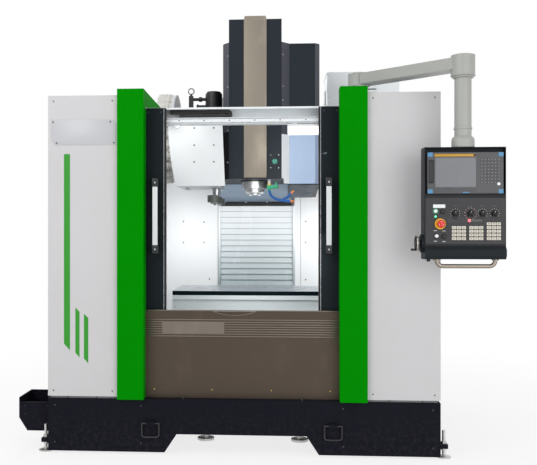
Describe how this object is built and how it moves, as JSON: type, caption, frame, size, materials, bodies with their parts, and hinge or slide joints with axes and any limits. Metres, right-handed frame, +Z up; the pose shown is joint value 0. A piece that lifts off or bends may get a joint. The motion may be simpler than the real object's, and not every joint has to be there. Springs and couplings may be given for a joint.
{
  "type": "cnc machining center",
  "caption": "Vertical machining centre with a sheet-metal cabin, sliding doors, arm-type tool changer, cross-slide table and an operator pendant on a swing arm.",
  "frame": {"origin": "on the floor, on the spindle axis, at the underside of the bed's middle foot", "axes": "+X to the operator's right, +Y away from the operator, +Z up"},
  "size_m": [2.934, 2.643, 2.936],
  "materials": {
    "white_paint": "fine textured powder coat",
    "green_paint": "glossy powder coat",
    "dark_paint": "fine textured powder coat",
    "slate_paint": "satin powder coat",
    "pale_paint": "satin powder coat",
    "stainless": "brushed",
    "machined_steel": "ground and oiled",
    "casting": "painted casting",
    "black_metal": "satin black",
    "black_plastic": "moulded",
    "grey_plastic": "moulded",
    "cream_plastic": "moulded",
    "red_plastic": "glossy",
    "white_plastic": "glossy",
    "blue_plastic": "moulded",
    "green_plastic": "moulded",
    "window": "clear laminated pane",
    "arm_paint": "satin powder coat"
  },
  "bodies": {
    "root": {"base_skirt": "dark_paint", "leveling_feet": "machined_steel", "chip_chute": "dark_paint", "machine_bed": "casting", "column": "casting", "axis_motors": "black_metal", "left_guard": "white_paint", "right_guard": "white_paint", "left_pillar": "green_paint", "right_pillar": "green_paint", "front_apron": "stainless", "door_beam": "pale_paint", "beam_cable_chain": "black_plastic", "cabin_liner": "pale_paint", "work_lamps": "pale_paint", "magazine_cover": "pale_paint", "changer_drive": "black_metal", "electrical_cabinet": "pale_paint", "y_way_covers": "stainless", "z_way_cover": "pale_paint"},
    "saddle": {"saddle": "casting"},
    "table": {"worktable": "machined_steel", "table_front_cover": "stainless"},
    "head": {"spindle_head": "casting", "head_cover": "slate_paint", "head_strip": "stainless", "spindle_housing": "machined_steel", "coolant_hoses": "blue_plastic"},
    "spindle": {"spindle_shaft": "machined_steel"},
    "valve": {"coolant_valve": "green_plastic"},
    "left_door": {"left_door": "slate_paint", "left_window": "window", "left_handle": "machined_steel"},
    "right_door": {"right_door": "slate_paint", "right_window": "window", "right_handle": "machined_steel"},
    "magazine": {"tool_magazine": "cream_plastic"},
    "arm_shaft": {"arm_shaft": "machined_steel"},
    "change_arm": {"change_arm": "machined_steel"},
    "x_screw": {"x_ball_screw": "machined_steel"},
    "y_screw": {"y_ball_screw": "machined_steel"},
    "z_screw": {"z_ball_screw": "machined_steel"},
    "swing_arm": {"swing_arm": "arm_paint"},
    "pendant": {"pendant_housing": "black_metal", "display_unit": "grey_plastic", "operator_panel": "black_plastic", "pendant_handle": "stainless"},
    "emergency_stop": {"emergency_stop": "red_plastic"},
    "start_button": {"start_button": "white_plastic"},
    "hold_button": {"hold_button": "black_plastic"},
    "power_on_button": {"power_on_button": "white_plastic"},
    "power_off_button": {"power_off_button": "black_plastic"},
    "mode_knob": {"mode_knob": "black_plastic"},
    "feed_knob": {"feed_knob": "black_plastic"},
    "spindle_knob": {"spindle_knob": "black_plastic"},
    "rapid_knob": {"rapid_knob": "black_plastic"},
    "handwheel": {"handwheel": "black_plastic"},
    "cabinet_door": {"cabinet_door": "pale_paint"},
    "left_ring": {"left_pull_ring": "black_metal"},
    "right_ring": {"right_pull_ring": "black_metal"}
  },
  "joints": [
    {"name": "y_axis", "type": "slide", "parent": "root", "child": "saddle", "axis": [0, 1, 0], "range_m": [0, 0.6], "deforming": ["y_way_covers"]},
    {"name": "x_axis", "type": "slide", "parent": "saddle", "child": "table", "axis": [1, 0, 0], "range_m": [-0.45, 0.45]},
    {"name": "z_axis", "type": "slide", "parent": "root", "child": "head", "axis": [0, 0, 1], "range_m": [-0.6, 0], "deforming": ["z_way_cover"]},
    {"name": "spindle_spin", "type": "hinge", "parent": "head", "child": "spindle", "pos_m": [0, 0, 1.7], "axis": [0, 0, 1], "continuous": true},
    {"name": "valve_turn", "type": "hinge", "parent": "head", "child": "valve", "pos_m": [0.156, -0.212, 1.703], "axis": [0, 1, 0], "range_deg": [0, 90]},
    {"name": "left_door_slide", "type": "slide", "parent": "root", "child": "left_door", "axis": [1, 0, 0], "range_m": [0, 0.477]},
    {"name": "right_door_slide", "type": "slide", "parent": "root", "child": "right_door", "axis": [-1, 0, 0], "range_m": [0, 0.477]},
    {"name": "magazine_spin", "type": "hinge", "parent": "root", "child": "magazine", "pos_m": [-0.59, 0, 2.08], "axis": [1, 0, 0], "continuous": true},
    {"name": "arm_lift", "type": "slide", "parent": "root", "child": "arm_shaft", "axis": [0, 0, -1], "range_m": [0, 0.11]},
    {"name": "arm_turn", "type": "hinge", "parent": "arm_shaft", "child": "change_arm", "pos_m": [-0.29, 0, 1.615], "axis": [0, 0, 1], "range_deg": [0, 180]},
    {"name": "x_screw_spin", "type": "hinge", "parent": "saddle", "child": "x_screw", "pos_m": [0, -0.36, 0.82], "axis": [1, 0, 0], "continuous": true},
    {"name": "y_screw_spin", "type": "hinge", "parent": "root", "child": "y_screw", "pos_m": [0, -0.23, 0.53], "axis": [0, 1, 0], "continuous": true},
    {"name": "z_screw_spin", "type": "hinge", "parent": "root", "child": "z_screw", "pos_m": [0, 0.75, 1.6], "axis": [0, 0, 1], "continuous": true},
    {"name": "pendant_swing", "type": "hinge", "parent": "root", "child": "swing_arm", "pos_m": [0.684, -0.866, 2.34], "axis": [0, 0, 1], "range_deg": [-50, 10]},
    {"name": "pendant_swivel", "type": "hinge", "parent": "swing_arm", "child": "pendant", "pos_m": [1.226, -1.352, 1.9], "axis": [0, 0, 1], "range_deg": [-20, 75]},
    {"name": "emergency_stop_push", "type": "slide", "parent": "pendant", "child": "emergency_stop", "axis": [0, 1, 0], "range_m": [0, 0.005], "stiffness_N_per_m": 1500},
    {"name": "start_push", "type": "slide", "parent": "pendant", "child": "start_button", "axis": [0, 1, 0], "range_m": [0, 0.003], "stiffness_N_per_m": 900},
    {"name": "hold_push", "type": "slide", "parent": "pendant", "child": "hold_button", "axis": [0, 1, 0], "range_m": [0, 0.003], "stiffness_N_per_m": 900},
    {"name": "power_on_push", "type": "slide", "parent": "pendant", "child": "power_on_button", "axis": [0, 1, 0], "range_m": [0, 0.003], "stiffness_N_per_m": 900},
    {"name": "power_off_push", "type": "slide", "parent": "pendant", "child": "power_off_button", "axis": [0, 1, 0], "range_m": [0, 0.003], "stiffness_N_per_m": 900},
    {"name": "mode_turn", "type": "hinge", "parent": "pendant", "child": "mode_knob", "pos_m": [1.17, -1.41, 1.481], "axis": [0, 1, 0], "range_deg": [-120, 120]},
    {"name": "feed_turn", "type": "hinge", "parent": "pendant", "child": "feed_knob", "pos_m": [1.256, -1.41, 1.481], "axis": [0, 1, 0], "range_deg": [-120, 120]},
    {"name": "spindle_turn", "type": "hinge", "parent": "pendant", "child": "spindle_knob", "pos_m": [1.322, -1.41, 1.481], "axis": [0, 1, 0], "range_deg": [-120, 120]},
    {"name": "rapid_turn", "type": "hinge", "parent": "pendant", "child": "rapid_knob", "pos_m": [1.389, -1.41, 1.481], "axis": [0, 1, 0], "range_deg": [-120, 120]},
    {"name": "handwheel_turn", "type": "hinge", "parent": "pendant", "child": "handwheel", "pos_m": [0.96, -1.352, 1.31], "axis": [1, 0, 0], "continuous": true},
    {"name": "cabinet_door_hinge", "type": "hinge", "parent": "root", "child": "cabinet_door", "pos_m": [1.177, 1.101, 1.6], "axis": [0, 0, -1], "range_deg": [0, 110]},
    {"name": "left_ring_swing", "type": "hinge", "parent": "root", "child": "left_ring", "pos_m": [-0.62, -1.143, 0.195], "axis": [-1, 0, 0], "range_deg": [0, 100]},
    {"name": "right_ring_swing", "type": "hinge", "parent": "root", "child": "right_ring", "pos_m": [0.5, -1.143, 0.195], "axis": [-1, 0, 0], "range_deg": [0, 100]}
  ],
  "couplings": [
    {"joint": "x_screw_spin", "follows": "x_axis", "rad_per_m": 314.16},
    {"joint": "y_screw_spin", "follows": "y_axis", "rad_per_m": 314.16},
    {"joint": "z_screw_spin", "follows": "z_axis", "rad_per_m": 314.16}
  ]
}
